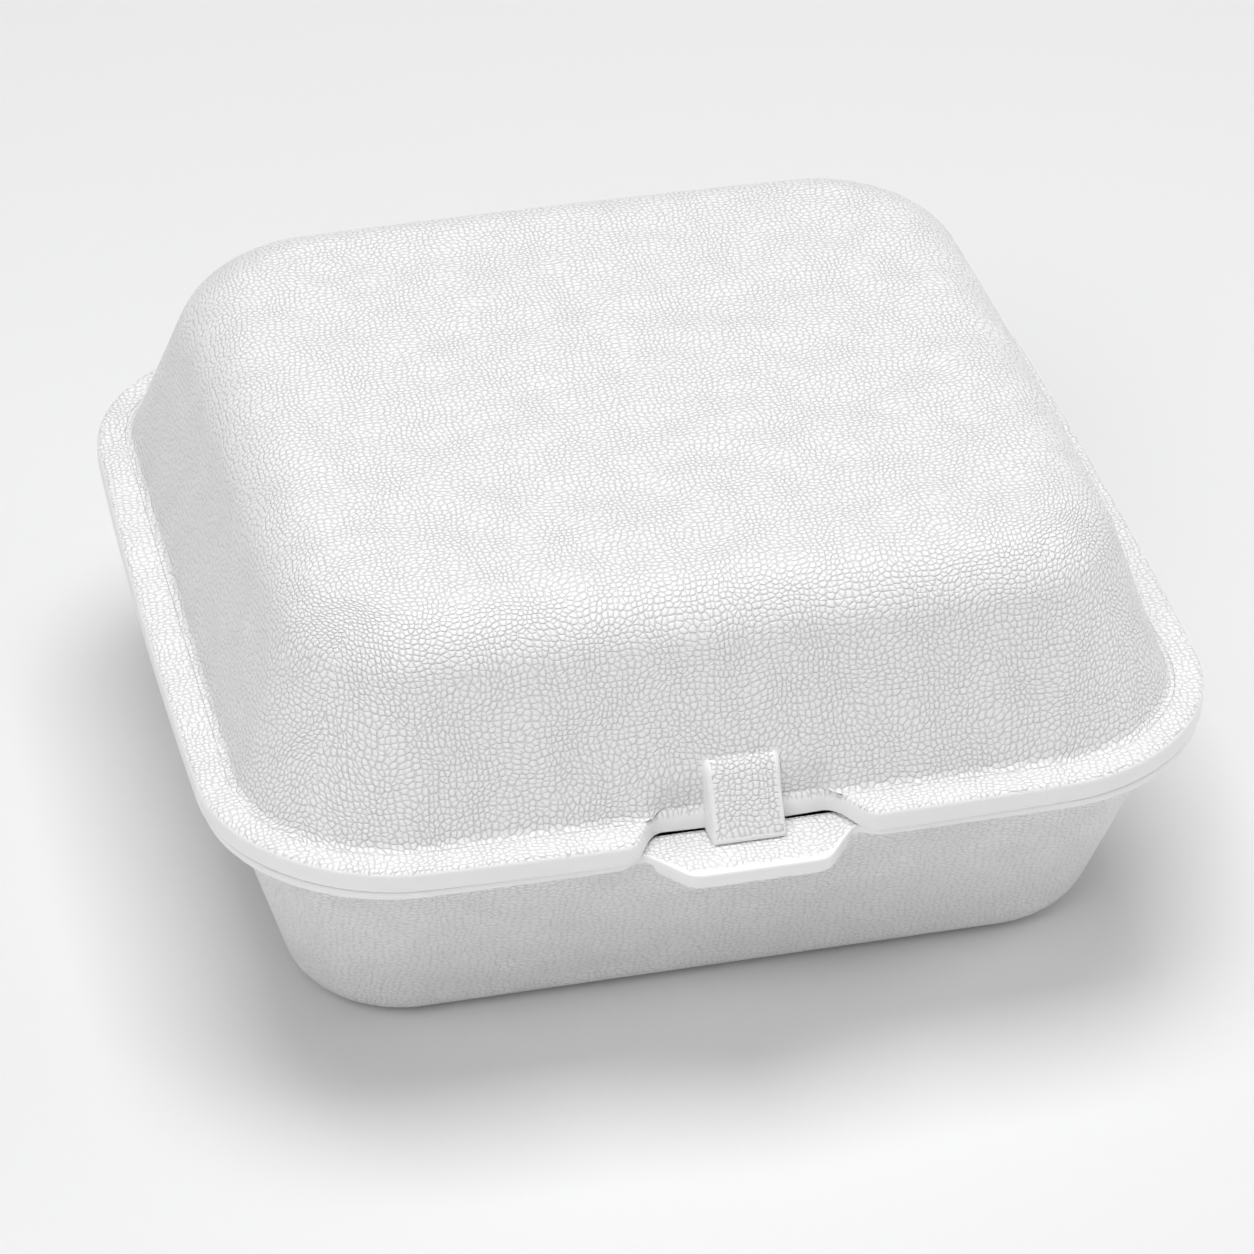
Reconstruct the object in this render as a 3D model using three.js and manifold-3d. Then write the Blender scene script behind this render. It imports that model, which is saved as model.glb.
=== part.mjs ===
// Foam burger box: a base and a lid moulded from one sheet of expanded polystyrene foam, joined by a
// thin pressed web at the back and held shut at the front by a hook that drops into the base's tab.
// Lengths are millimetres: X is the width, -Y the front, +Z up from the table.
import * as THREE from "three";
import { mergeVertices } from "three/addons/utils/BufferGeometryUtils.js";
import Module from "manifold-3d";

// Foam sheet
const sheet = 2.2;
const closedGap = 0.3;

// Rim outline, shared by both halves before their sides bow out
const boxWidth = 130;
const boxDepth = 129;
const rimCorner = 23.8;

// Base, with its heights measured down from its rim's upper face
const base = {
  height: 34,
  rimThickness: 1.3,
  rimRound: 0.4,
  rimBow: 0.6,
  ledge: 3.1,
  sideLean: 8.9,
  frontLean: 14.9,
  footCorner: 22,
  endCorner: 14,
  footBow: 0.5,
  endBow: 0,
  endRound: 7,
  footFillet: 0.8,
  lipRound: 0.8,
};

// Lid, with its heights measured up from its rim's underside
const lid = {
  height: 29.6,
  rimThickness: 3,
  rimRound: 0.9,
  rimBow: 1.7,
  ledge: 4,
  sideLean: 9.2,
  frontLean: 10.2,
  footCorner: 20,
  endCorner: 17,
  footBow: 0.2,
  endBow: 1,
  endRound: 10.5,
  footFillet: 1.2,
  lipRound: 0.8,
};

// Tab on the base's front edge
const tabReach = 4.7;
const tabThickness = 2.2;
const tabRootWidth = 24.8;
const tabFrontWidth = 17.4;
const tabCornerCut = 1.6;

// Notch in the lid's rim above the tab, and the wall set back behind it
const notchOuterWidth = 33;
const notchInnerWidth = 20.4;
const notchDepth = 5.9;
const notchLedge = 1;
const notchLift = 0.7;

// Hook on the lid's front wall
const hookWidth = 9.8;
const hookHeight = 9.3;
const hookProud = 1.9;
const hookRound = 1;
const hookFlank = 0.9;

// Catch under the hook, and the pocket in the base that it drops into
const catchWidth = 7.6;
const catchThickness = 1.4;
const catchDrop = 1.2;
const catchSetback = 1;
const catchClearance = 0.3;

// Hinge web at the back, in two halves that meet at the fold
const hingeLength = 84;
const webThickness = 0.7;
const webReach = 0.9;
const foldGap = 0.3;

// Fineness of the faceted surfaces
const cornerSteps = 8;
const sideSteps = 6;
const roundSteps = 6;
const filletSteps = 2;

// Depth to which one piece is buried in another that it is moulded with
const root = 1;

const foam = { color: 0xf3f3f1, roughness: 0.5, metalness: 0 };

const manifold = await Module();
manifold.setup();

// A closed geometry as a solid that can be joined and cut
function solidOf(geometry) {
  const bare = geometry.index ? geometry.toNonIndexed() : geometry.clone();
  bare.deleteAttribute("normal");
  bare.deleteAttribute("uv");
  const merged = mergeVertices(bare, 1e-4);
  return new manifold.Manifold(
    new manifold.Mesh({
      numProp: 3,
      vertProperties: merged.attributes.position.array,
      triVerts: new Uint32Array(merged.index.array),
    }),
  );
}

// A solid as a geometry that a mesh can hold
function geometryOf(solid) {
  const mesh = solid.getMesh();
  const geometry = new THREE.BufferGeometry();
  geometry.setAttribute("position", new THREE.BufferAttribute(mesh.vertProperties, 3));
  geometry.setIndex(new THREE.BufferAttribute(mesh.triVerts, 1));
  geometry.computeVertexNormals();
  return geometry;
}

// One closed outline: a rounded rectangle whose four sides bow outwards, anticlockwise from +X
function outline({ halfX, halfY, corner, bow }) {
  const centres = [
    [halfX - corner, halfY - corner],
    [corner - halfX, halfY - corner],
    [corner - halfX, corner - halfY],
    [halfX - corner, corner - halfY],
  ];
  const onArc = (i, angle) => [
    centres[i][0] + corner * Math.cos(angle),
    centres[i][1] + corner * Math.sin(angle),
  ];
  const points = [];
  for (let i = 0; i < 4; i += 1) {
    const start = (i * Math.PI) / 2;
    for (let k = 0; k <= cornerSteps; k += 1) {
      points.push(onArc(i, start + (k / cornerSteps) * (Math.PI / 2)));
    }
    const from = onArc(i, start + Math.PI / 2);
    const to = onArc((i + 1) % 4, start + Math.PI / 2);
    for (let k = 1; k < sideSteps; k += 1) {
      const share = k / sideSteps;
      points.push([from[0] + (to[0] - from[0]) * share, from[1] + (to[1] - from[1]) * share]);
    }
  }
  return points.map(([x, y]) => [
    x * (1 + (bow / halfX) * (1 - (y / halfY) ** 2)),
    y * (1 + (bow / halfY) * (1 - (x / halfX) ** 2)),
  ]);
}

// How far a rounding of the given radius pulls away from a leaning wall, at a distance from the flat
// face that it runs into. The lean is the wall's sideways run for each millimetre of height.
function roundingOffset(radius, lean, distance) {
  const slope = Math.atan2(1, lean);
  if (distance >= radius * (1 - Math.cos(slope))) return 0;
  const turn = Math.acos(1 - distance / radius);
  return radius * Math.tan(slope / 2) - radius * Math.sin(turn) + distance * lean;
}

// Sideways run of the walls for each millimetre of height
function leans(half) {
  const rise = half.height - half.rimThickness;
  return { x: half.sideLean / rise, y: half.frontLean / rise };
}

// The outer skin of a half: its walls' size at the rim, and how they lean and round
function outerSkin(half) {
  return {
    start: half.rimThickness,
    end: half.height,
    lean: leans(half),
    halfX: boxWidth / 2 - half.ledge,
    halfY: boxDepth / 2 - half.ledge,
    footCorner: half.footCorner,
    endCorner: half.endCorner,
    footBow: half.footBow,
    endBow: half.endBow,
    footRound: half.footFillet,
    endRound: half.endRound,
  };
}

// The inner skin of a half: the outer one moved in by the sheet and carried on to the rim's face
function innerSkin(half) {
  const outer = outerSkin(half);
  const { x, y } = outer.lean;
  return {
    ...outer,
    start: 0,
    end: half.height - sheet,
    halfX: outer.halfX + x * half.rimThickness - sheet * Math.hypot(1, x),
    halfY: outer.halfY + y * half.rimThickness - sheet * Math.hypot(1, y),
    footCorner: outer.footCorner - sheet,
    endCorner: outer.endCorner - sheet,
    footRound: half.lipRound,
    endRound: half.endRound - sheet,
  };
}

// A skin's plan section at one height
function skinSection(skin, height) {
  const fromStart = height - skin.start;
  const fromEnd = skin.end - height;
  const share = fromStart / (skin.end - skin.start);
  const move = (lean) =>
    roundingOffset(skin.footRound, lean, fromStart) -
    roundingOffset(skin.endRound, lean, fromEnd);
  const moveX = move(skin.lean.x);
  const moveY = move(skin.lean.y);
  return {
    height,
    halfX: skin.halfX - skin.lean.x * fromStart + moveX,
    halfY: skin.halfY - skin.lean.y * fromStart + moveY,
    corner: skin.footCorner + (skin.endCorner - skin.footCorner) * share + (moveX + moveY) / 2,
    bow: skin.footBow + (skin.endBow - skin.footBow) * share,
  };
}

// A skin's sections from its closed end to the rim
function skinSections(skin) {
  const steepest = Math.atan2(1, Math.min(skin.lean.x, skin.lean.y));
  const levels = [];
  for (let k = 0; k <= roundSteps; k += 1) {
    levels.push(skin.end - skin.endRound * (1 - Math.cos((steepest * k) / roundSteps)));
  }
  for (let k = filletSteps; k >= 0; k -= 1) {
    levels.push(skin.start + skin.footRound * (1 - Math.cos((steepest * k) / filletSteps)));
  }
  return levels.map((height) => skinSection(skin, height));
}

// The rim's edge, from its outer face round to the face that meets the other half
function rimSections(half) {
  const at = (inset, height) => ({
    height,
    halfX: boxWidth / 2 - inset,
    halfY: boxDepth / 2 - inset,
    corner: rimCorner - inset,
    bow: half.rimBow,
  });
  const sections = [];
  for (let k = 0; k <= filletSteps; k += 1) {
    const turn = (k / filletSteps) * (Math.PI / 2);
    const inset = half.rimRound * (1 - Math.sin(turn));
    sections.push(at(inset, half.rimThickness - half.rimRound * (1 - Math.cos(turn))));
  }
  sections.push(at(0, 0));
  return sections;
}

// A closed solid through a list of rings with equally many points, capped at both ends. The rings run
// anticlockwise as seen from the first one's outer side, or clockwise where the loft is mirrored.
function loft(rings, mirrored = false) {
  const count = rings[0].length;
  const middle = (ring) =>
    [0, 1, 2].map((axis) => ring.reduce((sum, point) => sum + point[axis], 0) / count);
  const lastRing = rings[rings.length - 1];
  const first = middle(rings[0]);
  const last = middle(lastRing);
  const positions = [];
  const addTriangle = (a, b, c) => positions.push(...(mirrored ? [a, c, b] : [a, b, c]).flat());
  for (let i = 0; i < count; i += 1) {
    const next = (i + 1) % count;
    addTriangle(first, rings[0][i], rings[0][next]);
    for (let r = 1; r < rings.length; r += 1) {
      addTriangle(rings[r - 1][i], rings[r][i], rings[r][next]);
      addTriangle(rings[r - 1][i], rings[r][next], rings[r - 1][next]);
    }
    addTriangle(lastRing[i], last, lastRing[next]);
  }
  const geometry = new THREE.BufferGeometry();
  geometry.setAttribute("position", new THREE.Float32BufferAttribute(positions, 3));
  return solidOf(geometry);
}

// Height of the face where a half meets the other one
const baseSeam = base.height;
const lidSeam = base.height + closedGap;

// The plain shell of a half, from its outer skin over the rim to its inner skin; facing is 1 for the
// lid, which opens downwards, and -1 for the base
function halfShell(half, facing, seam) {
  const outer = skinSections(outerSkin(half));
  const inner = skinSections(innerSkin(half)).reverse();
  const rings = [...outer, ...rimSections(half), ...inner].map((section) =>
    outline(section).map(([x, y]) => [x, y, seam + facing * section.height]),
  );
  return loft(rings, facing < 0);
}

// A shape drawn in plan and raised between two heights
function raised(shape, bottom, top) {
  const geometry = new THREE.ExtrudeGeometry(shape, { depth: top - bottom, bevelEnabled: false });
  return solidOf(geometry.translate(0, 0, bottom));
}

// A shape drawn from the side, as depth and height, and run across the box's middle
function across(shape, width) {
  const geometry = new THREE.ExtrudeGeometry(shape, { depth: width, bevelEnabled: false });
  geometry.translate(0, 0, -width / 2);
  const turn = new THREE.Matrix4().makeBasis(
    new THREE.Vector3(0, 1, 0),
    new THREE.Vector3(0, 0, 1),
    new THREE.Vector3(1, 0, 0),
  );
  return solidOf(geometry.applyMatrix4(turn));
}

function polygon(points) {
  return new THREE.Shape(points.map(([x, y]) => new THREE.Vector2(x, y)));
}

function rectangle(x0, x1, y0, y1) {
  return polygon([
    [x0, y0],
    [x1, y0],
    [x1, y1],
    [x0, y1],
  ]);
}

// Places on the front and back centre line
const lidRimFront = -boxDepth / 2 - lid.rimBow;
const baseRimFront = -boxDepth / 2 - base.rimBow;
const notchFront = lidRimFront + notchDepth;
const tabFront = baseRimFront - tabReach;
const hingeAxisY = boxDepth / 2 + Math.max(lid.rimBow, base.rimBow) + webReach;

// Depth of the lid's front wall on the centre line, at a height above the lid rim's underside
function lidFrontWall(height) {
  const foot = -boxDepth / 2 + lid.ledge - lid.footBow;
  return foot + leans(lid).y * (height - lid.rimThickness);
}

// The tab, a flat six-sided tongue with rounded front corners, rooted in the base's wall
function tab() {
  const rootY = baseRimFront + base.ledge + root;
  const slant = (tabRootWidth - tabFrontWidth) / 2;
  const cut = tabCornerCut / Math.hypot(slant, tabReach);
  const side = [tabFrontWidth / 2 + slant * cut, tabFront + tabReach * cut];
  const front = tabFrontWidth / 2 - tabCornerCut;
  const shape = new THREE.Shape();
  shape.moveTo(-tabRootWidth / 2, rootY);
  shape.lineTo(-tabRootWidth / 2, baseRimFront);
  shape.lineTo(-side[0], side[1]);
  shape.quadraticCurveTo(-tabFrontWidth / 2, tabFront, -front, tabFront);
  shape.lineTo(front, tabFront);
  shape.quadraticCurveTo(tabFrontWidth / 2, tabFront, side[0], side[1]);
  shape.lineTo(tabRootWidth / 2, baseRimFront);
  shape.lineTo(tabRootWidth / 2, rootY);
  return raised(shape, baseSeam - tabThickness, baseSeam);
}

// The lid rim's notch, whose shoulders are S-curves from the rim's edge to the notch's floor
function notch() {
  const outer = notchOuterWidth / 2;
  const inner = notchInnerWidth / 2;
  const bend = (outer - inner) / 2;
  const open = lidRimFront - root;
  const shape = new THREE.Shape();
  shape.moveTo(-outer, open);
  shape.lineTo(outer, open);
  shape.lineTo(outer, lidRimFront);
  shape.bezierCurveTo(outer - bend, lidRimFront, inner + bend, notchFront, inner, notchFront);
  shape.lineTo(-inner, notchFront);
  shape.bezierCurveTo(-inner - bend, notchFront, bend - outer, lidRimFront, -outer, lidRimFront);
  return raised(shape, lidSeam - root, lidSeam + lid.rimThickness + root);
}

// The low arch under the notched rim, which leaves a dark slit on both sides of the hook
function notchArch() {
  const half = notchInnerWidth / 2;
  const shape = new THREE.Shape();
  shape.moveTo(-half, -root);
  shape.lineTo(half, -root);
  shape.lineTo(half, 0);
  shape.quadraticCurveTo(0, 2 * notchLift, -half, 0);
  const depth = notchLedge + root;
  const geometry = new THREE.ExtrudeGeometry(shape, { depth, bevelEnabled: false });
  geometry.rotateX(Math.PI / 2).translate(0, notchFront - root + depth, lidSeam);
  return solidOf(geometry);
}

// Where the wall behind the notch is set back, the sheet stands proud on its inner side instead
const setBackY = notchFront + notchLedge;

function setBackPad() {
  const inner = setBackY + sheet;
  const meet = lid.rimThickness + (inner - sheet - lidFrontWall(lid.rimThickness)) / leans(lid).y;
  const shape = polygon([
    [lidFrontWall(0) + root, lidSeam],
    [inner, lidSeam],
    [inner, lidSeam + meet],
    [lidFrontWall(meet) + root, lidSeam + meet],
  ]);
  return across(shape, notchInnerWidth + 2 * sheet);
}

function setBackCut() {
  const bottom = lidSeam + lid.rimThickness;
  return across(rectangle(lidRimFront, setBackY, bottom, lidSeam + hookHeight), notchInnerWidth);
}

// The hook, a low block with sloping flanks whose face runs along the front wall and stands proud
function hook() {
  const ring = (inset, depth) => {
    const half = hookHeight / 2 - inset;
    const plan = { halfX: hookWidth / 2 - inset, halfY: half, corner: hookRound, bow: 0 };
    return outline(plan).map(([x, along]) => {
      const height = hookHeight / 2 + along;
      return [x, lidFrontWall(height) - hookProud + depth, lidSeam + height];
    });
  };
  const rings = [];
  for (let k = 0; k <= filletSteps; k += 1) {
    const turn = (k / filletSteps) * (Math.PI / 2);
    rings.push(ring(hookFlank * (1 - Math.sin(turn)), hookProud * (1 - Math.cos(turn))));
  }
  rings.push(ring(0, hookProud + sheet - closedGap));
  return loft(rings);
}

// The catch under the hook's front edge, and the pocket that is larger by the clearance all round
const catchFront = lidFrontWall(0) - hookProud + catchSetback;

function catchBlock() {
  const sides = rectangle(-catchWidth / 2, catchWidth / 2, catchFront, catchFront + catchThickness);
  return raised(sides, lidSeam - catchDrop, lidSeam + root);
}

function catchPocket() {
  const half = catchWidth / 2 + catchClearance;
  const front = catchFront - catchClearance;
  const back = catchFront + catchThickness + catchClearance;
  const bottom = lidSeam - catchDrop - catchClearance;
  return raised(rectangle(-half, half, front, back), bottom, baseSeam + root);
}

// One half of the hinge web, from inside the rim to just short of the fold
function hingeWeb(bottom) {
  const rootY = boxDepth / 2 - root;
  const shape = rectangle(rootY, hingeAxisY - foldGap / 2, bottom, bottom + webThickness);
  return across(shape, hingeLength);
}

function baseSolid() {
  return halfShell(base, -1, baseSeam)
    .add(tab())
    .add(hingeWeb(baseSeam - webThickness))
    .subtract(catchPocket());
}

function lidSolid() {
  return halfShell(lid, 1, lidSeam)
    .add(setBackPad())
    .subtract(notch())
    .subtract(notchArch())
    .subtract(setBackCut())
    .add(hook())
    .add(catchBlock())
    .add(hingeWeb(lidSeam));
}

function foamMesh(name, solid) {
  const mesh = new THREE.Mesh(geometryOf(solid), new THREE.MeshStandardMaterial(foam));
  mesh.name = name;
  return mesh;
}

// The origin is on the table, under the middle of the box's whole length from tab to fold
const box = new THREE.Group();
box.add(foamMesh("base", baseSolid()), foamMesh("lid", lidSolid()));
box.position.y = -(tabFront + hingeAxisY - foldGap / 2) / 2;

export default box;
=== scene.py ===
"""Foam burger box: two moulded foam halves, the fold that joins them at the back, and a pale studio."""

import logging
import math
from dataclasses import dataclass, replace
from enum import Enum
from typing import NamedTuple

import bpy
import numpy as np
from mathutils import Matrix, Vector


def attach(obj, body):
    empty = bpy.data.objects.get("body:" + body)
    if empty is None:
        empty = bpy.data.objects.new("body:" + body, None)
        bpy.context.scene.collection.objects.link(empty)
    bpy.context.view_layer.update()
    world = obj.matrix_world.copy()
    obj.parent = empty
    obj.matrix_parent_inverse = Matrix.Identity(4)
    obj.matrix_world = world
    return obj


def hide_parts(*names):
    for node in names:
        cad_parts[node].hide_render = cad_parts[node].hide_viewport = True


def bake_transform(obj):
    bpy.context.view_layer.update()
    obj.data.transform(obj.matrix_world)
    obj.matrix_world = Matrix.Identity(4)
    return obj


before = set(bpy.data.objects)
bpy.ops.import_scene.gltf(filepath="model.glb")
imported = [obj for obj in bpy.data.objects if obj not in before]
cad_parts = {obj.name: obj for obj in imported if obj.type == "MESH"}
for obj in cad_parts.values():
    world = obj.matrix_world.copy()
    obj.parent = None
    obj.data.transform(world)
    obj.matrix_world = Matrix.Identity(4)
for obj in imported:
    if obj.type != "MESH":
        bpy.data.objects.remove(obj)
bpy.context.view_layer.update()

log = logging.getLogger("foam_box")

Array = np.ndarray
Socket = bpy.types.NodeSocket

MM = 0.001

# The CAD source draws the box about its own middle and then moves it forward to centre its length
CAD_SHIFT_Y = 1.425
SHEET = 2.2
BASE_SEAM = 34.0
LID_SEAM = 34.3
HALF_WIDTH = 65.0
HALF_DEPTH = 64.5
RIM_CORNER = 23.8
TINY = 1e-9
# Rows on a wall keep this far from its roundings
ROW_GAP = 0.02


class Finish(Enum):
    """Material slots of the record."""

    FOAM = "foam"


class Part(Enum):
    """Stretches of a half's profile, from its closed end over the rim to its inner floor."""

    CAP = 0
    ROUND = 1
    WALL = 2
    FILLET = 3
    LEDGE = 4
    EDGE = 5
    SEAM = 6
    LIP = 7
    INNER = 8
    INNER_ROUND = 9
    INNER_CAP = 10


def linear(colour: str) -> tuple[float, float, float, float]:
    """Turns an sRGB hex colour into the linear values that shaders take.

    Args:
        colour: Six hex digits, without a hash.

    Returns:
        Linear red, green and blue, and an alpha of one.
    """
    shares = [int(colour[i : i + 2], 16) / 255 for i in (0, 2, 4)]
    made = [c / 12.92 if c <= 0.04045 else ((c + 0.055) / 1.055) ** 2.4 for c in shares]
    return (made[0], made[1], made[2], 1.0)


def ease(low: float, high: float, values: Array) -> Array:
    """Rises smoothly from 0 at low to 1 at high, or falls where high is the smaller."""
    share = np.clip((values - low) / (high - low), 0, 1)
    return share * share * (3 - 2 * share)


def within(half: float, outside: float, inside: float, place: Array) -> Array:
    """1 out to a half width, falling to 0 from a little inside it to a little outside it."""
    return ease(half + outside, half - inside, place)


def larger(first: Array, second: float, softness: float) -> Array:
    """The larger of two values, with the bend between them softened over a width."""
    gap = first - second
    return (first + second + np.sqrt(gap * gap + softness * softness)) / 2


def bulge(share: Array) -> Array:
    """Quarter of an ellipse, from 0 at an edge to 1 at the end of its rounding."""
    return np.sqrt(np.clip(1 - (1 - np.clip(share, 0, 1)) ** 2, 0, 1))


def mix(first: Array, second: Array, share: Array) -> Array:
    """Blends two arrays by a share from 0 to 1."""
    return first + (second - first) * share


def quarter(steps: int) -> list[float]:
    """Angles of a quarter turn in even steps."""
    return [k / steps * math.pi / 2 for k in range(steps + 1)]


def make_piece(
    name: str, vertices: list, faces: list, domain: str, flat: Array, beads: Array, drawn: Array
) -> bpy.types.Object:
    """Makes a smooth mesh that carries what the foam's material reads.

    Args:
        name: Name of the piece.
        vertices: Places in metres.
        faces: Numbers of each face's vertices.
        domain: What the flat places belong to: points, or corners of faces.
        flat: Places in the cells' pattern, in millimetres.
        beads: How strongly the cells show at each point.
        drawn: How much they are drawn out at each point.

    Returns:
        The piece, linked to the scene.
    """
    mesh = bpy.data.meshes.new(name)
    mesh.from_pydata(vertices, [], faces)
    mesh.polygons.foreach_set("use_smooth", [True] * len(faces))
    places = mesh.attributes.new("flat", "FLOAT2", domain)
    places.data.foreach_set("vector", flat.astype(np.float32).ravel())
    for key, values in (("beads", beads), ("drawn", drawn)):
        mesh.attributes.new(key, "FLOAT", "POINT").data.foreach_set("value", values.astype(np.float32))
    made = bpy.data.objects.new(name, mesh)
    bpy.context.scene.collection.objects.link(made)
    return made


@dataclass(frozen=True)
class HalfSizes:
    """Sizes of one half in millimetres, the base's where nothing else is said.

    Heights are measured from the rim's meeting face.
    """

    height: float = 34
    rim_thickness: float = 1.3
    rim_round: float = 0.4
    rim_bow: float = 0.6
    ledge: float = 3.1
    side_lean: float = 8.9
    front_lean: float = 14.9
    foot_corner: float = 22
    end_corner: float = 14
    foot_bow: float = 0.5
    end_bow: float = 0
    end_round: float = 7
    foot_fillet: float = 0.8
    lip_round: float = 0.8

    def leans(self) -> tuple[float, float]:
        """Sideways run of the side and front walls for each millimetre of height."""
        rise = self.height - self.rim_thickness
        return self.side_lean / rise, self.front_lean / rise


BASE_SIZES = HalfSizes()
LID_SIZES = HalfSizes(
    height=29.6,
    rim_thickness=3,
    rim_round=0.9,
    rim_bow=1.7,
    ledge=4,
    side_lean=9.2,
    front_lean=10.2,
    foot_corner=20,
    end_corner=17,
    foot_bow=0.2,
    end_bow=1,
    end_round=10.5,
    foot_fillet=1.2,
)


@dataclass(frozen=True)
class Section:
    """A plan section of a half: its height, half sizes, corner radius, bow and part of the profile."""

    height: float
    half_x: float
    half_y: float
    corner: float
    bow: float
    part: Part
    scale: float = 1.0

    def towards(self, other: "Section", share: float, part: Part) -> "Section":
        """A section of some part of the profile, at a share of the way from this one to another."""
        names = ("height", "half_x", "half_y", "corner", "bow")
        pairs = ((getattr(self, name), getattr(other, name)) for name in names)
        return Section(*(here + (there - here) * share for here, there in pairs), part)


@dataclass(frozen=True)
class Skin:
    """An outer or inner skin of a half, which leans, and rounds over at both of its ends."""

    start: float
    end: float
    lean_x: float
    lean_y: float
    half_x: float
    half_y: float
    foot_corner: float
    end_corner: float
    foot_bow: float
    end_bow: float
    foot_round: float
    end_round: float

    @staticmethod
    def outer(sizes: HalfSizes) -> "Skin":
        """The skin that is seen on the closed box."""
        lean_x, lean_y = sizes.leans()
        return Skin(
            start=sizes.rim_thickness,
            end=sizes.height,
            lean_x=lean_x,
            lean_y=lean_y,
            half_x=HALF_WIDTH - sizes.ledge,
            half_y=HALF_DEPTH - sizes.ledge,
            foot_corner=sizes.foot_corner,
            end_corner=sizes.end_corner,
            foot_bow=sizes.foot_bow,
            end_bow=sizes.end_bow,
            foot_round=sizes.foot_fillet,
            end_round=sizes.end_round,
        )

    @staticmethod
    def inner(sizes: HalfSizes) -> "Skin":
        """The outer skin moved in by the sheet and carried on to the rim's face.

        Args:
            sizes: Sizes of the half.

        Returns:
            The inner skin.
        """
        skin = Skin.outer(sizes)
        rim = sizes.rim_thickness
        return replace(
            skin,
            start=0.0,
            end=sizes.height - SHEET,
            half_x=skin.half_x + skin.lean_x * rim - SHEET * math.hypot(1, skin.lean_x),
            half_y=skin.half_y + skin.lean_y * rim - SHEET * math.hypot(1, skin.lean_y),
            foot_corner=skin.foot_corner - SHEET,
            end_corner=skin.end_corner - SHEET,
            foot_round=sizes.lip_round,
            end_round=sizes.end_round - SHEET,
        )

    @staticmethod
    def rounding(radius: float, lean: float, distance: float) -> float:
        """How far a rounding pulls away from a leaning wall.

        Args:
            radius: Radius of the rounding.
            lean: Sideways run of the wall for each millimetre of height.
            distance: Distance from the flat face that the rounding runs into.

        Returns:
            The offset, 0 past the rounding.
        """
        slope = math.atan2(1, lean)
        if distance >= radius * (1 - math.cos(slope)):
            return 0.0
        turn = math.acos(1 - max(distance, 0.0) / radius)
        return radius * math.tan(slope / 2) - radius * math.sin(turn) + distance * lean

    def section(self, height: float, part: Part) -> Section:
        """The skin's section at one height.

        Args:
            height: Height from the rim's meeting face.
            part: Part of the profile that it belongs to.

        Returns:
            The section.
        """
        from_start = height - self.start
        from_end = self.end - height
        share = from_start / (self.end - self.start)
        moves = [
            self.rounding(self.foot_round, lean, from_start) - self.rounding(self.end_round, lean, from_end)
            for lean in (self.lean_x, self.lean_y)
        ]
        return Section(
            height,
            self.half_x - self.lean_x * from_start + moves[0],
            self.half_y - self.lean_y * from_start + moves[1],
            self.foot_corner + (self.end_corner - self.foot_corner) * share + sum(moves) / 2,
            self.foot_bow + (self.end_bow - self.foot_bow) * share,
            part,
        )

    def sections(
        self, parts: tuple[Part, Part, Part], steps: tuple[int, int], walls: list[float]
    ) -> list[Section]:
        """Sections from the closed end to the rim.

        Args:
            parts: Parts of the profile that the end rounding, wall and foot rounding are.
            steps: Steps in the end rounding and in the foot rounding.
            walls: Heights of further sections on the wall.

        Returns:
            The sections, from the closed end.
        """
        steep = math.atan2(1, min(self.lean_x, self.lean_y))
        made = []
        for k in range(steps[0] + 1):
            drop = self.end_round * (1 - math.cos(steep * k / steps[0]))
            made.append(self.section(self.end - drop, parts[0]))
        top = made[-1].height
        foot = self.start + self.foot_round * (1 - math.cos(steep))
        for height in sorted(walls, reverse=True):
            if foot + ROW_GAP < height < top - ROW_GAP:
                made.append(self.section(height, parts[1]))
        for k in range(steps[1], -1, -1):
            drop = self.foot_round * (1 - math.cos(steep * k / steps[1]))
            made.append(self.section(self.start + drop, parts[2]))
        return made


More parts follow.
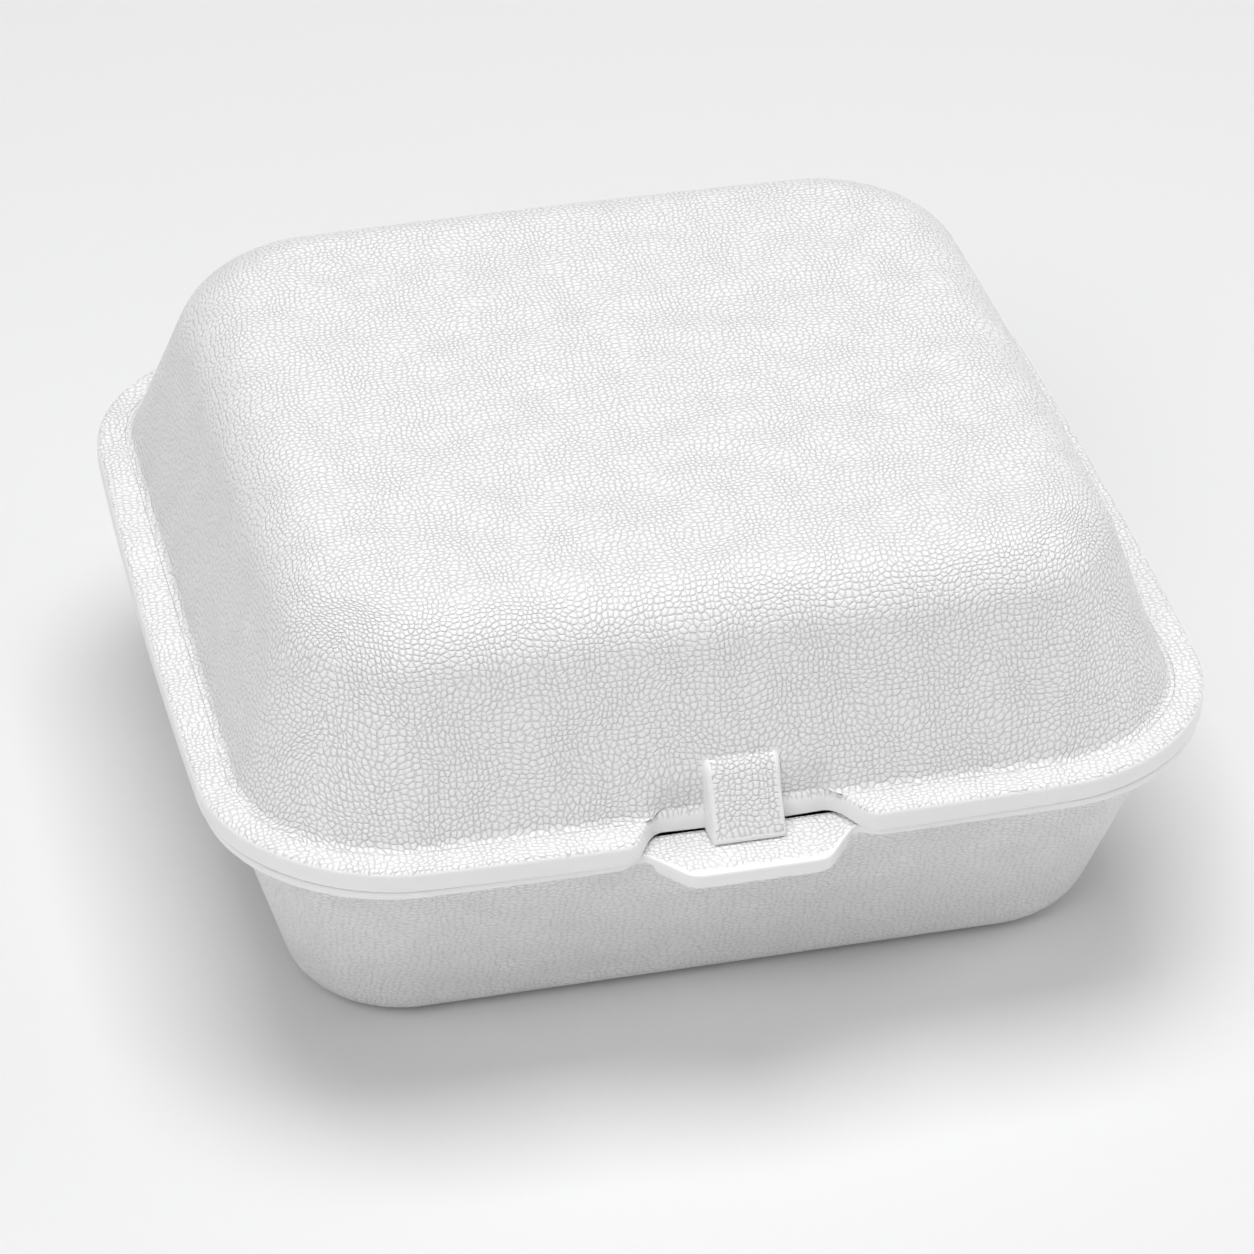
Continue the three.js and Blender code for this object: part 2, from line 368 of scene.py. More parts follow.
class Plan:
    """The columns of a half's mesh: places round a rounded rectangle, closest together at the front."""

    def __init__(self, front: list[float], corner_steps: int, side_steps: int) -> None:
        """Lays out the columns.

        Args:
            front: Fixed places along X in the middle of the front, from left to right.
            corner_steps: Steps round each corner.
            side_steps: Steps along each side, and along the rest of the front.
        """
        rows = []
        signs = ((1, 1), (-1, 1), (-1, -1), (1, -1))
        for i, (sign_x, sign_y) in enumerate(signs):
            start = i * math.pi / 2
            rows += [self.on_arc(sign_x, sign_y, start + turn) for turn in quarter(corner_steps)]
            first = rows[-1]
            following = signs[(i + 1) % 4]
            last = self.on_arc(following[0], following[1], start + math.pi / 2)
            if i == 2:
                rows += self.front_columns(first, last, front, side_steps)
            else:
                rows += [first + (last - first) * k / side_steps for k in range(1, side_steps)]
        self.terms = np.array(rows)
        self.count = len(rows)
        self.station = self.terms[:, 2]
        self.is_front = self.terms[:, 7] > 0

    @staticmethod
    def on_arc(sign_x: int, sign_y: int, angle: float) -> Array:
        """Terms of a column on a corner: shares of half X, corner, fixed X, half Y, corner; normal; front."""
        c, s = math.cos(angle), math.sin(angle)
        return np.array([sign_x, c - sign_x, 0, sign_y, s - sign_y, c, s, 0])

    @staticmethod
    def front_columns(first: Array, last: Array, front: list[float], steps: int) -> list[Array]:
        """Columns across the front, fixed in the middle and stretched beside it.

        Args:
            first: Terms of the left corner's last column.
            last: Terms of the right corner's first column.
            front: Fixed places along X.
            steps: Steps between a corner and the fixed places.

        Returns:
            Terms of the columns.
        """
        fixed = [np.array([0, 0, x, -1, 0, 0, -1, 1]) for x in front]
        left = [first + (fixed[0] - first) * k / steps for k in range(1, steps)]
        right = [fixed[-1] + (last - fixed[-1]) * k / steps for k in range(1, steps)]
        for row in left + right:
            row[7] = 0
        return left + fixed + right

    def points(self, sections: list[Section]) -> Array:
        """Places of all columns on all sections.

        Args:
            sections: Sections of the half.

        Returns:
            An array of sections by columns by X and Y.
        """
        half_x, half_y, corner, bow, scale = (
            np.array([[getattr(s, name)] for s in sections])
            for name in ("half_x", "half_y", "corner", "bow", "scale")
        )
        t = self.terms.T[:, None, :]
        x = t[0] * half_x + t[1] * corner + t[2]
        y = t[3] * half_y + t[4] * corner
        bowed_x = x * (1 + bow / half_x * (1 - (y / half_y) ** 2))
        bowed_y = y * (1 + bow / half_y * (1 - (x / half_x) ** 2))
        bowed_x = np.where(self.is_front, x, bowed_x)
        return np.stack([bowed_x * scale, bowed_y * scale], axis=-1)


class Front(NamedTuple):
    """The front columns: their distances from the middle, and the depths and heights of their rows."""

    place: Array
    y: Array
    h: Array

    def copy(self) -> "Front":
        """The same columns with rows of their own."""
        return Front(self.place, self.y.copy(), self.h.copy())


class Shell:
    """One moulded half, in millimetres: a mesh of rows along its profile and columns round its plan."""

    name: str
    sizes: HalfSizes
    # Height of the meeting face from the table
    seam: float
    # 1 where the half opens downwards and -1 where it opens upwards
    facing: int
    # Start, end and step of each run of rows on the walls
    wall_runs: tuple[tuple[float, float, float], ...]

    corner_steps = 22
    side_steps = 14
    # Steps in the roundings at a skin's closed end and at its rim
    outer_steps = (22, 5)
    inner_steps = (12, 5)
    edge_steps = 6
    lower_steps = 3
    lower_round = 0.3
    seam_rows = 14
    cap_shares = (0.86, 0.66, 0.44, 0.22)
    ledge_shares = (0.02, 0.3, 0.6, 0.88)
    # Row of the rim's edge on which the cells fade out
    faded_row = 4
    # The front is plain beyond the first distance from the middle, and shaped within the second
    window = (20.0, 17.0)
    # Distances that keep the flat places of the rim and of the inside clear of the outside's
    rim_apart = 200.0
    inside_apart = 400.0
    # Length of wall on which the cells go over from the top's pattern to the side's
    dart_run = 11.0
    # Weight of a column's distance from the middle of its side, against the way that it faces
    sideways = 0.01

    def __init__(self) -> None:
        """Prepares the rows and columns."""
        self.plan = Plan(self.front_stations(), self.corner_steps, self.side_steps)
        self.sections = self.all_sections([height for run in self.wall_runs for height in np.arange(*run)])
        self.part = np.array([s.part.value for s in self.sections])
        plan = self.plan.points(self.sections)
        self.x = plan[..., 0]
        self.y = plan[..., 1]
        self.h = np.repeat(np.array([[s.height] for s in self.sections]), self.plan.count, axis=1)
        self.beads = np.ones_like(self.h)
        edge = self.rows(Part.EDGE)
        self.beads[edge[self.faded_row]] = 0.5
        self.beads[edge[self.faded_row + 1 :]] = 0

    @staticmethod
    def front_stations() -> list[float]:
        """Places along X that the hook, tab and notch need, mirrored about the middle."""
        right = np.concatenate(
            [
                # The hook's face, the ends of the catch and its pocket, and the hook's flank
                np.linspace(0.6, 3.4, 5),
                [3.7, 3.78, 3.84, 3.92, 4.0, 4.02, 4.06, 4.1, 4.14, 4.18],
                4.9 - 0.9 * (1 - np.cos(np.linspace(0.28, 1, 8) * math.pi / 2))[::-1] * 0.84,
                [4.93, 5.0, 5.15],
                # The tab, its cut corner and its root
                np.linspace(5.6, 8.2, 6),
                np.linspace(8.4, 12.2, 14),
                [12.32, 12.4, 12.48, 12.6, 12.9],
                # The notch's shoulder and the run back to the plain rim
                np.linspace(13.2, 16.8, 12),
                [17.6, 18.6, 20.0],
            ]
        )
        right = np.unique(np.round(right, 3))
        return [*(-right[::-1]).tolist(), 0.0, *right.tolist()]

    def all_sections(self, walls: list[float]) -> list[Section]:
        """The sections of the whole profile, from the middle of the closed end to the inner floor.

        Args:
            walls: Heights on the walls where rows are wanted.

        Returns:
            The sections in order.
        """
        outer_parts = (Part.ROUND, Part.WALL, Part.FILLET)
        inner_parts = (Part.INNER_ROUND, Part.INNER, Part.LIP)
        outer = Skin.outer(self.sizes).sections(outer_parts, self.outer_steps, walls)
        inner = Skin.inner(self.sizes).sections(inner_parts, self.inner_steps, walls)
        inner = inner[::-1]
        edge = self.edge_sections()
        ledge = [outer[-1].towards(edge[0], share, Part.LEDGE) for share in self.ledge_shares]
        count = self.seam_rows
        face = [edge[-1].towards(inner[0], (k + 0.5) / count, Part.SEAM) for k in range(count)]
        closed = self.cap(outer[0], Part.CAP)[::-1]
        floor = self.cap(inner[-1], Part.INNER_CAP)
        return [*closed, *outer, *ledge, *edge, *face, *inner, *floor]

    def cap(self, rim: Section, part: Part) -> list[Section]:
        """Rings that fill the flat face inside a section, from the outermost."""
        return [replace(rim, part=part, scale=share) for share in self.cap_shares]

    def edge_sections(self) -> list[Section]:
        """The rim's edge, rounded above, and a little below where it meets the other half."""
        sizes = self.sizes
        lower = min(self.lower_round, sizes.rim_thickness / 4)
        spots = []
        for turn in quarter(self.edge_steps):
            drop = sizes.rim_round * (1 - math.cos(turn))
            spots.append((sizes.rim_round * (1 - math.sin(turn)), sizes.rim_thickness - drop))
        spots.append((0, (sizes.rim_thickness - sizes.rim_round + lower) / 2))
        for turn in quarter(self.lower_steps):
            spots.append((lower * (1 - math.cos(turn)), lower * (1 - math.sin(turn))))
        made = []
        for inset, height in spots:
            plan = (HALF_WIDTH - inset, HALF_DEPTH - inset, RIM_CORNER - inset)
            made.append(Section(height, *plan, sizes.rim_bow, Part.EDGE))
        return made

    def rows(self, *parts: Part) -> Array:
        """Indexes of the rows in some parts of the profile."""
        return np.flatnonzero(np.isin(self.part, [p.value for p in parts]))

    def front(self) -> Front:
        """The plain front columns."""
        columns = self.plan.is_front
        return Front(np.abs(self.plan.station[columns]), self.y[:, columns], self.h[:, columns])

    def set_front(self, front: Front) -> None:
        """Puts shaped front columns in place, and runs them back to the plain rim at their sides.

        Args:
            front: The shaped columns.
        """
        columns = self.plan.is_front
        share = ease(*self.window, front.place)
        self.y[:, columns] = mix(self.y[:, columns], front.y, share)
        self.h[:, columns] = mix(self.h[:, columns], front.h, share)

    def shape_front(self) -> None:
        """Adds the features on the front; the plain shell has none."""

    def follows_wall(self) -> Array:
        """Columns whose pattern runs from the wall straight on to the rim's edge."""
        return np.zeros(self.plan.count, bool)

    def unfolded(self, points: Array) -> Array:
        """Lays the skin out flat in millimetres, so that its cells run on over every rounding.

        Args:
            points: Places of all rows and columns.

        Returns:
            Flat places of the same rows and columns.
        """
        normal = self.plan.terms[:, 5:7].copy()
        normal /= np.maximum(np.linalg.norm(normal, axis=1, keepdims=True), TINY)
        first = self.rows(Part.ROUND)[0]
        last = self.rows(Part.INNER_ROUND)[-1]
        split = self.rows(Part.LIP)[0]
        step = np.linalg.norm(np.diff(points, axis=0), axis=2)
        run = np.vstack([np.zeros((1, step.shape[1])), np.cumsum(step, axis=0)])
        flat = points[..., :2].copy()
        outer = slice(first, split)
        flat[outer] = points[first, :, :2] + (run[outer] - run[first])[..., None] * normal
        inner = slice(split, last + 1)
        flat[inner] = points[last, :, :2] + (run[last] - run[inner])[..., None] * normal
        flat[split:] += self.inside_apart
        level = self.rows(Part.LEDGE, Part.EDGE, Part.SEAM)
        turned = np.flatnonzero(~self.follows_wall())
        flat[np.ix_(level, turned)] = points[np.ix_(level, turned)][..., :2] + self.rim_apart
        return np.stack([self.side_flat(flat, points, run, normal, side) for side in range(4)])

    def face_flat(self, sides: Array) -> list[Array]:
        """Picks the flat places of each face's corners from the side that it faces.

        Args:
            sides: Flat places of all rows and columns, for each of the four sides.

        Returns:
            The places of each face's corners, in the order of the faces.
        """
        normal = self.plan.terms[:, 5:7]
        between = normal + np.roll(normal, -1, axis=0)
        side = np.argmax([-between[:, 1], between[:, 0], between[:, 1], -between[:, 0]], axis=0)
        column = np.arange(self.plan.count)
        here = sides[side, :, column]
        after = sides[side, :, (column + 1) % self.plan.count]
        quads = np.stack([here[:, :-1], here[:, 1:], after[:, 1:], after[:, :-1]], axis=2)
        faces = list(quads.transpose(1, 0, 2, 3).reshape(-1, 4, 2))
        top = sides[0, 0].mean(axis=0)
        bottom = sides[0, -1].mean(axis=0)
        faces += [np.array([top, first, second]) for first, second in zip(here[:, 0], after[:, 0])]
        faces += [np.array([bottom, second, first]) for first, second in zip(here[:, -1], after[:, -1])]
        return faces

    def side_flat(self, flat: Array, points: Array, run: Array, normal: Array, side: int) -> Array:
        """Lets the walls' flat places follow one side, so that its cells keep their shape in the corners.

        Args:
            flat: Flat places that fan out round the corners.
            points: Places of all rows and columns.
            run: Length down the profile to each place.
            normal: Direction that each column faces.
            side: Number of the side, from the front on and anticlockwise.

        Returns:
            Flat places that join the fan at the closed end and follow the side below it.
        """
        outward = np.round([math.sin(side * math.pi / 2), -math.cos(side * math.pi / 2)])
        along = np.array([-outward[1], outward[0]])
        first = self.rows(Part.ROUND)[0]
        wall = slice(first, self.rows(Part.LEDGE)[0])
        plan = points[wall, :, :2]
        step = np.linalg.norm(np.roll(plan, -1, axis=1) - plan, axis=2)
        straight = self.plan.is_front & np.roll(self.plan.is_front, -1)
        step[:, straight] = np.abs(np.roll(plan, -1, axis=1) - plan)[:, straight, 0]
        travel = np.cumsum(step, axis=1) - step
        total = step.sum(axis=1, keepdims=True)
        middle = int(np.argmax(normal @ outward - np.abs(plan[0] @ along) * self.sideways))
        offset = travel - travel[:, middle : middle + 1]
        offset -= total * np.round(offset / total)
        turn = np.sign(((np.roll(plan[0], -1, axis=0) - plan[0]) @ along)[middle])
        place = plan[0, middle] @ along + turn * offset
        depth = plan[0, middle] @ outward + run[wall] - run[first]
        followed = place[..., None] * along + depth[..., None] * outward
        made = flat.copy()
        share = ease(0, self.dart_run, run[wall] - run[first])[..., None]
        made[wall] += share * (followed - made[wall])
        return made

    def build(self) -> bpy.types.Object:
        """Makes the piece, with what its material reads: flat places, and where cells fade or draw out."""
        self.shape_front()
        z = self.seam + self.facing * self.h
        points = np.stack([self.x, self.y + CAD_SHIFT_Y, z], axis=-1)
        rows, columns = self.h.shape
        ends = np.array([points[0].mean(0), points[-1].mean(0)])
        vertices = np.vstack([points.reshape(-1, 3), ends])
        grid = np.arange(rows * columns).reshape(rows, columns)
        here = grid[:-1]
        below = grid[1:]
        quads = np.stack([here, below, np.roll(below, -1, 1), np.roll(here, -1, 1)], axis=-1).reshape(-1, 4)
        first, last = rows * columns, rows * columns + 1
        fans = [[first, int(grid[0, i]), int(grid[0, (i + 1) % columns])] for i in range(columns)]
        fans += [[last, int(grid[-1, (i + 1) % columns]), int(grid[-1, i])] for i in range(columns)]
        faces = [*quads.tolist(), *fans]
        flat = self.face_flat(self.unfolded(points))
        if self.facing < 0:
            faces = [face[::-1] for face in faces]
            flat = [face[::-1] for face in flat]
        beads = np.append(self.beads.ravel(), [1.0, 1.0])
        drawn = np.append(self.drawn().ravel(), [0.0, 0.0])
        return make_piece(self.name, (vertices * MM).tolist(), faces, "CORNER", np.vstack(flat), beads, drawn)

    def drawn(self) -> Array:
        """How much the cells are drawn out: on the base's walls alone."""
        walls = np.isin(self.part, [Part.WALL.value, Part.FILLET.value])
        return (walls * float(self.facing < 0))[:, None] * np.ones(self.plan.count)


class LidShell(Shell):
    """The lid, with the notch in its rim, the wall set back behind it, the hook and the catch."""

    name = "foam_lid"
    sizes = LID_SIZES
    seam = LID_SEAM
    facing = 1
    wall_runs = ((3.2, 6.0, 0.28), (6.3, 7.6, 0.35), (7.7, 9.8, 0.1), (10.5, 29, 1.6))

    notch_outer = 16.5
    notch_inner = 10.2
    notch_front = -60.3
    # The wall is set back within the second distance from the middle, and plain beyond the first
    back_run = (12.8, 9.8)
    set_back = -59.3
    back_soft = 0.35
    notch_round = 1.7
    notch_lift = -0.22
    slit_depth = 0.4
    slit_rows = 10
    lip_share = 0.6
    step_gap = 0.1
    rest_start = 0.3
    # The lid's face settles onto the tab by this much, over this run at the notch's ends
    settle = 0.22
    settle_run = 1.5
    hook_half = 4.9
    hook_height = 9.2
    hook_proud = 1.9
    hook_tilt = 0.13
    hook_round = 1.0
    hook_flank = 0.9
    hook_foot_flank = 0.45
    flank_heights = (1.5, 8.0)
    hook_top_round = 1.7
    hook_lip = 0.6
    hook_tuck = 0.45
    turn_rows = 6
    # Where the hook's flanks have no cells: past its half width, inside it, and from the middle
    bare_ends = (0.15, 0.05)
    bare_from = (3.9, 4.3)
    bare_top = 0.2
    catch_front = -62.74
    catch_back = -61.34
    catch_drop = 1.2
    catch_half = 3.8
    catch_ends = (0.2, 0.02)
    catch_soft = 0.3
    catch_bend = 0.09

    def notch_share(self, place: Array) -> Array:
        """Depth of the notch as a share, along its S-shaped shoulders."""
        t = np.linspace(0, 1, 60)
        across = self.notch_outer - (self.notch_outer - self.notch_inner) * (1.5 * t * (1 - t) + t**3)
        depth = 3 * t**2 - 2 * t**3
        return np.interp(place, across[::-1], depth[::-1])

    def front_wall(self, height: Array) -> Array:
        """Depth of the front wall on the centre line."""
        sizes = self.sizes
        return -HALF_DEPTH + sizes.ledge - sizes.foot_bow + sizes.leans()[1] * (height - sizes.rim_thickness)

    def hook_face(self, height: Array) -> Array:
        """Depth of the hook's face, which leans back a little more than the wall."""
        return self.front_wall(height) - self.hook_proud + self.hook_tilt * (height - self.hook_height / 2)

    def shape_front(self) -> None:
        """Bends the front columns into the notch, and the middle ones into the hook."""
        plain = self.front()
        notched = plain.copy()
        self.cut_notch(notched)
        hooked = notched.copy()
        self.add_hook(hooked)
        widened = (self.hook_flank - self.hook_foot_flank) * ease(*self.flank_heights, plain.h)
        share = bulge((self.hook_half - plain.place) / (self.hook_foot_flank + widened))
        self.set_front(Front(plain.place, mix(notched.y, hooked.y, share), mix(notched.h, hooked.h, share)))
        self.bare_flanks(plain.place)

    def bare_flanks(self, place: Array) -> None:
        """Takes the cells off the hook's flanks, and keeps them on its face down to its lip.

        Args:
            place: Distance of each front column from the middle.
        """
        columns = np.flatnonzero(self.plan.is_front)
        bare = within(self.hook_half, *self.bare_ends, place) * ease(*self.bare_from, place)
        low = np.ix_(self.rows(Part.WALL, Part.FILLET, Part.LEDGE, Part.EDGE), columns)
        self.beads[low] *= 1 - bare * (self.h[low] < self.hook_height + self.bare_top)
        face = self.rows(Part.EDGE)[: -self.turn_rows - 1]
        self.beads[np.ix_(face, columns[place < self.bare_from[1]])] = 1

    def follows_wall(self) -> Array:
        """Columns on the hook, whose face runs on from the wall."""
        return self.plan.is_front & (np.abs(self.plan.station) < self.hook_half)

    def cut_notch(self, front: Front) -> None:
        """Steps the rim back over the tab, and sets the wall back behind it.

        Args:
            front: The front columns, which are changed.
        """
        place, y, h = front
        depth = self.notch_share(place)
        back = ease(*self.back_run, place)
        walls = self.rows(Part.ROUND, Part.WALL, Part.FILLET)
        y[walls] = mix(y[walls], larger(y[walls], self.set_back, self.back_soft), back)
        inner = self.rows(Part.LIP, Part.INNER)
        y[inner] = mix(y[inner], larger(y[inner], self.set_back + SHEET, self.back_soft), back)
        edge = self.rows(Part.EDGE)
        rim = y[edge].min(axis=0)
        lift = self.notch_lift * np.clip(1 - (place / self.notch_inner) ** 2, 0, None)
        y[edge] += depth * (self.notch_front - rim)
        rounded = edge[: self.edge_steps + 1]
        drop = self.sizes.rim_thickness - h[rounded]
        h[rounded] -= drop * (self.notch_round / self.sizes.rim_round - 1) * depth
        h[edge] = lift + h[edge] * (1 - lift / self.sizes.rim_thickness)
        ledge = self.rows(Part.LEDGE)
        foot = walls[-1]
        for row, share in zip(ledge, self.ledge_shares):
            y[row] = mix(y[foot], y[edge[0]], share)
        face = self.rows(Part.SEAM)
        lip = y[inner[0]]
        start = y[edge[-1]]
        middle = mix(start + self.lip_share * (lip - start), self.notch_front + self.slit_depth, back)
        settled = -self.settle * ease(self.notch_inner, self.notch_inner - self.settle_run, place)
        for k, row in enumerate(face[: self.slit_rows]):
            y[row] = mix(start, middle, (k + 1) / self.slit_rows)
            h[row] = lift
        rest = face[self.slit_rows :]
        for k, row in enumerate(rest):
            y[row] = mix(middle + self.step_gap, lip, (k + self.rest_start) / len(rest))
            h[row] = settled * (row != rest[-1])

    def add_hook(self, front: Front) -> None:
        """Turns the notched profile into the one through the hook.

        Args:
            front: The front columns, which are changed.
        """
        place, y, h = front
        corner = np.clip(place - (self.hook_half - self.hook_round), 0, self.hook_round)
        top = self.hook_height - self.hook_round + np.sqrt(self.hook_round**2 - corner**2)
        walls = self.rows(Part.ROUND, Part.WALL)
        proud = bulge((top - h[walls]) / self.hook_top_round) * (h[walls] < top)
        y[walls] = mix(y[walls], self.hook_face(h[walls]), proud)
        down = self.rows(Part.FILLET, Part.LEDGE, Part.EDGE)
        face = down[: -self.turn_rows]
        begin = h[walls[-1]].mean()
        radius = self.hook_lip
        end = radius - self.settle
        for k, row in enumerate(face):
            h[row] = begin + (end - begin) * (k + 1) / len(face)
            y[row] = self.hook_face(h[row])
        low_face = self.hook_face(np.array(end))
        for turn, row in zip(quarter(self.turn_rows)[1:], down[-self.turn_rows :]):
            y[row] = low_face + radius * (1 - math.cos(turn)) - self.hook_tuck * radius * math.sin(turn)
            h[row] = end - radius * math.sin(turn)
        self.add_catch(front)

    def add_catch(self, columns: Front) -> None:
        """Lays out the meeting face under the hook, with the catch standing below it.

        Args:
            columns: The front columns, which are changed.
        """
        place, y, h = columns
        front, back, drop = self.catch_front, self.catch_back, self.catch_drop
        soft, bend = self.catch_soft, self.catch_bend
        profile = (
            (front, -self.settle),
            (front, soft - drop),
            (front + bend, bend - drop),
            (front + soft, -drop),
            (back - soft, -drop),
            (back - bend, bend - drop),
            (back, soft - drop),
            (back, -self.settle),
            (self.notch_front, -self.settle),
            (self.set_back - self.step_gap, -self.settle),
        )
        width = within(self.catch_half, *self.catch_ends, place)
        for row, (depth, height) in zip(self.rows(Part.SEAM), profile):
            y[row] = depth
            h[row] = mix(np.full_like(width, -self.settle), height, width)


class BaseShell(Shell):
    """The base, with its tab and the pocket that the catch drops into."""

    name = "foam_base"
    sizes = BASE_SIZES
    seam = BASE_SEAM
    facing = -1
    wall_runs = ((1.4, 7.0, 0.5), (7.5, 33, 1.6))

    tab_front = -69.8
    tab_half_front = 8.7
    tab_half_root = 12.4
    tab_cut = 1.6
    tab_thickness = 2.2
    tab_ends = (0.2, 0.1)
    # Height within which the wall's rows make room for the tab's thickness
    deepened = 6.0
    root_front = -65.1
    # Beside the tab the rim is drawn back under the notch's shoulders
    beside = ((13.3, -64.0), (14.3, -63.9), (16.8, root_front))
    pocket_front = -63.04
    pocket_back = -61.04
    pocket_depth = 1.5
    pocket_half = 4.1
    pocket_ends = (0.06, 0.01)
    # Slope of the pocket's ends, and the first row on its floor
    pocket_soft = (0.02, 0.5)
    pocket_rows = 5

    def tab_edge(self, place: Array) -> Array:
        """Depth of the tab's edge at a distance from the middle."""
        slant = self.tab_half_root - self.tab_half_front
        reach = self.root_front - self.tab_front
        cut = self.tab_cut / math.hypot(slant, reach)
        t = np.linspace(0, 1, 12)
        ends = (self.tab_half_front + slant * cut, self.tab_front + reach * cut)
        flat = self.tab_half_front - self.tab_cut
        curve_x = (1 - t) ** 2 * flat + 2 * t * (1 - t) * self.tab_half_front + t**2 * ends[0]
        curve_y = (1 - t) ** 2 * self.tab_front + 2 * t * (1 - t) * self.tab_front + t**2 * ends[1]
        root = ((self.tab_half_root, self.root_front), *self.beside)
        across = np.concatenate([[0], curve_x, [x for x, _ in root]])
        depth = np.concatenate([[self.tab_front], curve_y, [y for _, y in root]])
        return np.interp(place, across, depth)

    def shape_front(self) -> None:
        """Draws the front columns out into the tab and sinks the pocket into it."""
        front = self.front()
        place, y, h = front
        thick = within(self.tab_half_root, *self.tab_ends, place)
        edge = self.rows(Part.EDGE)
        moved = self.tab_edge(place) - y[edge].min(axis=0)
        y[edge] += np.where(place < self.beside[-1][0], moved, 0)
        h[edge] *= 1 + (self.tab_thickness / self.sizes.rim_thickness - 1) * thick
        self.deepen(front, thick)
        foot = self.rows(Part.FILLET)[-1]
        for row, share in zip(self.rows(Part.LEDGE), self.ledge_shares):
            y[row] = mix(y[foot], y[edge[0]], share)
            h[row] = mix(h[foot], h[edge[0]], share)
        self.sink_pocket(front)
        self.set_front(front)

    def deepen(self, front: Front, thick: Array) -> None:
        """Moves the top of the wall down to the tab's lower face, along the wall's own slope.

        Args:
            front: The front columns, which are changed.
            thick: Share of the tab's thickness in each column.
        """
        rim, reach = self.sizes.rim_thickness, self.deepened
        lean = self.sizes.leans()[1]
        rows = self.rows(Part.WALL, Part.FILLET)
        near = np.clip((reach - front.h[rows]) / (reach - rim), 0, 1)
        drop = near * (self.tab_thickness - rim) * thick
        front.h[rows] += drop
        front.y[rows] += drop * lean

    def sink_pocket(self, columns: Front) -> None:
        """Lays out the rows of the rim's upper face and lowers those in the pocket.

        Args:
            columns: The front columns, which are changed.
        """
        place, y, h = columns
        face = self.rows(Part.SEAM)
        start = y[self.rows(Part.EDGE)[-1]]
        lip = y[self.rows(Part.LIP)[0]]
        width = within(self.pocket_half, *self.pocket_ends, place)
        front, back, deep = self.pocket_front, self.pocket_back, self.pocket_depth
        slope, floor = self.pocket_soft
        count = self.pocket_rows
        for k, row in enumerate(face[:count]):
            y[row] = mix(start, np.full_like(start, front), (k + 1) / count)
            h[row] = 0
        depths = (front + slope, front + floor, back - floor, back - slope, back)
        for row, depth in zip(face[count:], depths):
            y[row] = depth
            h[row] = deep * width * (depth != back)
        rest = face[count + len(depths) :]
        for k, row in enumerate(rest):
            y[row] = mix(np.full_like(lip, back), lip, (k + 1) / (len(rest) + 1))
            h[row] = 0


@dataclass(frozen=True)
class Fold:
    """The pressed strip at the back that is bent double while the box is shut."""

    length: float = 84.0
    thickness: float = 0.6
    axis_y: float = 67.1
    axis_z: float = 34.15
    root_y: float = 63.5
    bend_radius: float = 0.55
    steps: int = 48
    root_steps: int = 4
    columns: int = 43
    # Share of the bend's steps that are spread evenly; the others crowd towards its middle
    even: float = 0.35
    # Place and pitch of its flat rows in the foam's pattern, and how far its cells are pressed away
    flat_start: float = 80.0
    flat_step: float = 0.4
    beads: float = 0.25

    def profile(self) -> list[tuple[float, float]]:
        """Closed outline of the folded strip, as depth and height."""
        half = self.thickness / 2
        centre = self.axis_y - self.bend_radius
        turns = [self.turn(k / self.steps) for k in range(self.steps + 1)]
        depths = np.linspace(self.root_y, centre, self.root_steps + 1)[:-1]
        made = []
        for radius, order in ((self.bend_radius + half, 1), (self.bend_radius - half, -1)):
            side = [(y, self.axis_z - radius) for y in depths]
            side += [(centre + radius * math.cos(a), self.axis_z + radius * math.sin(a)) for a in turns]
            side += [(y, self.axis_z + radius) for y in depths[::-1]]
            made += side[::order]
        return made

    def turn(self, share: float) -> float:
        """Angle round the bend, with the steps closest together at its middle."""
        side = 2 * share - 1
        return math.pi / 2 * (self.even * side + (1 - self.even) * side**3)

    def build(self) -> bpy.types.Object:
        """Makes the strip across the box's back."""
        outline = self.profile()
        count = len(outline)
        places = np.linspace(-self.length / 2, self.length / 2, self.columns)
        vertices = [(x * MM, (y + CAD_SHIFT_Y) * MM, z * MM) for x in places for y, z in outline]
        faces = []
        for i in range(len(places) - 1):
            for k in range(count):
                a, b = i * count + k, i * count + (k + 1) % count
                faces.append((a, a + count, b + count, b))
        last = (len(places) - 1) * count
        half = count // 2
        for k in range(half - 1):
            a, b, c, d = k, k + 1, count - 2 - k, count - 1 - k
            faces.append((a, b, c, d))
            faces.append((last + d, last + c, last + b, last + a))
        flat = np.array([(x, self.flat_start + k * self.flat_step) for x in places for k in range(count)])
        beads = np.full(len(flat), self.beads)
        return make_piece("hinge_fold", vertices, faces, "POINT", flat, beads, np.ones(len(flat)))


